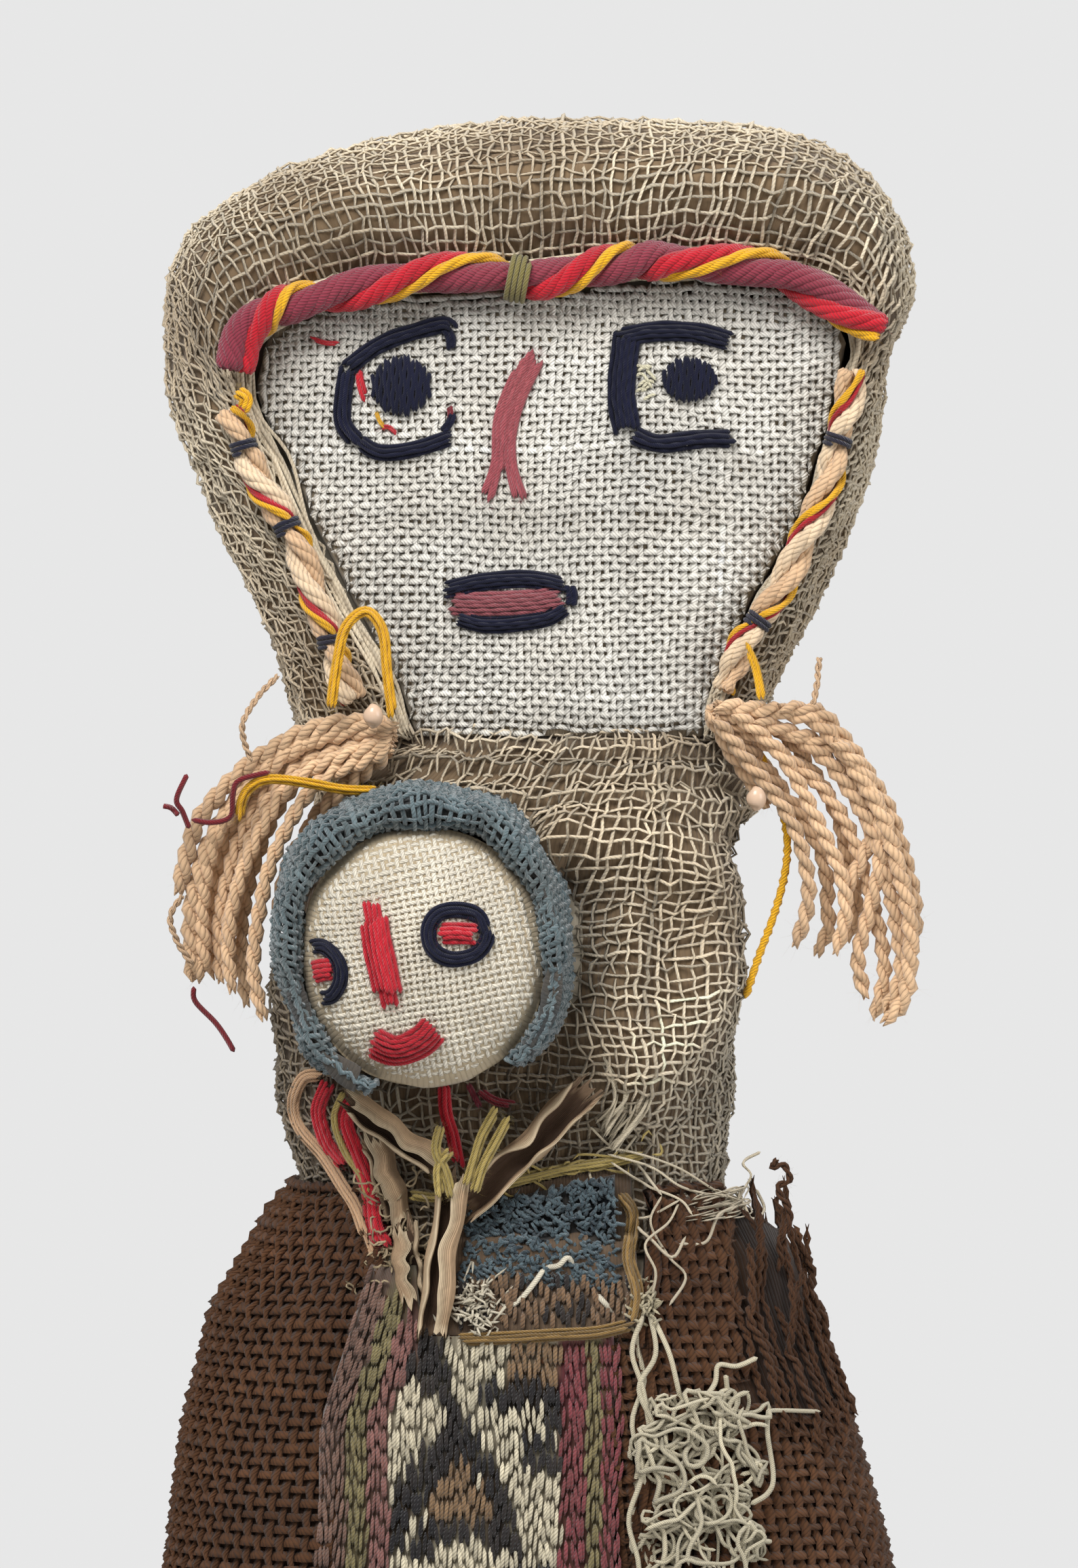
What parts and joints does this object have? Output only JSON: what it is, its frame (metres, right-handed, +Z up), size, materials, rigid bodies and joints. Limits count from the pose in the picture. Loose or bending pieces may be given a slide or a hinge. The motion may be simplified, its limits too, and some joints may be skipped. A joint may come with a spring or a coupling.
{
  "type": "burial doll",
  "caption": "Stuffed woven figure in a gauze hood and brown tunic, with embroidered face, twisted yarn headband and tassels, holding a small hooded figure.",
  "frame": {"origin": "middle of the flat base of the tunic and trunk", "axes": "+Z up along the figure to the top of its hood, the faces look along -Y, +X to the viewer's right seen from the front"},
  "size_m": [0.112, 0.0719, 0.29],
  "materials": {
    "gauze": "open gauze",
    "white_cloth": "plain weave",
    "cotton_stuffing": "loose fibre",
    "navy_yarn": "spun yarn",
    "rose_yarn": "spun yarn",
    "dull_rose_yarn": "spun yarn",
    "burgundy_yarn": "spun yarn",
    "red_yarn": "spun yarn",
    "yellow_yarn": "spun yarn",
    "olive_yarn": "spun yarn",
    "peach_yarn": "spun yarn",
    "brown_cloth": "coarse plain weave",
    "striped_cloth": "tapestry weave",
    "figured_cloth": "tapestry weave",
    "rose_striped_cloth": "tapestry weave",
    "blue_wool": "fuzzy wool",
    "cream_cloth": "plain weave",
    "reed": "dry split reed",
    "ochre_wool": "fuzzy wool"
  },
  "bodies": {
    "root": {"tunic": "brown_cloth", "hood": "gauze", "left_tassel": "peach_yarn", "right_tassel": "peach_yarn", "trunk_gauze": "gauze", "white_tangle": "cream_cloth", "trunk_stuffing": "cotton_stuffing", "neck_wrap": "gauze", "headband_burgundy": "burgundy_yarn", "headband_red": "red_yarn", "headband_yellow": "yellow_yarn", "headband_tie": "olive_yarn", "face_cloth": "white_cloth", "head_pad": "cotton_stuffing", "arm_gauze": "gauze", "left_roll_peach_front": "peach_yarn", "left_roll_peach_back": "peach_yarn", "right_roll_peach_front": "peach_yarn", "right_roll_peach_back": "peach_yarn", "left_roll_yellow": "yellow_yarn", "right_roll_yellow": "yellow_yarn", "left_roll_binding_1": "navy_yarn", "left_roll_binding_2": "navy_yarn", "left_roll_binding_3": "navy_yarn", "right_roll_binding_1": "navy_yarn", "right_roll_binding_2": "navy_yarn", "baby_hood": "blue_wool", "baby_head_pad": "cotton_stuffing", "baby_face": "cream_cloth", "baby_nose": "red_yarn", "baby_mouth": "red_yarn", "baby_right_eye_rim": "navy_yarn", "baby_right_eye": "red_yarn", "baby_left_eye": "navy_yarn", "panel_left_stripes": "striped_cloth", "panel_figured_strip": "figured_cloth", "panel_right_stripes": "rose_striped_cloth", "ochre_border": "ochre_wool", "yellow_cord": "yellow_yarn", "sleeve_edge": "peach_yarn", "sleeve_red": "red_yarn", "mouth_rim": "navy_yarn", "lips": "dull_rose_yarn", "nose": "rose_yarn", "left_eye_rim": "navy_yarn", "right_eye_rim": "navy_yarn", "left_pupil": "navy_yarn", "right_pupil": "navy_yarn", "left_arm_reed": "reed", "right_arm_reed": "reed", "body_reed": "reed", "broken_reed_upper": "reed", "broken_reed_lower": "reed", "blue_patch": "blue_wool", "shoulder_thread": "brown_cloth", "olive_band": "olive_yarn", "lashing_left": "olive_yarn", "lashing_right": "olive_yarn", "neck_yarn": "red_yarn", "spine_reed": "reed"}
  },
  "joints": []
}
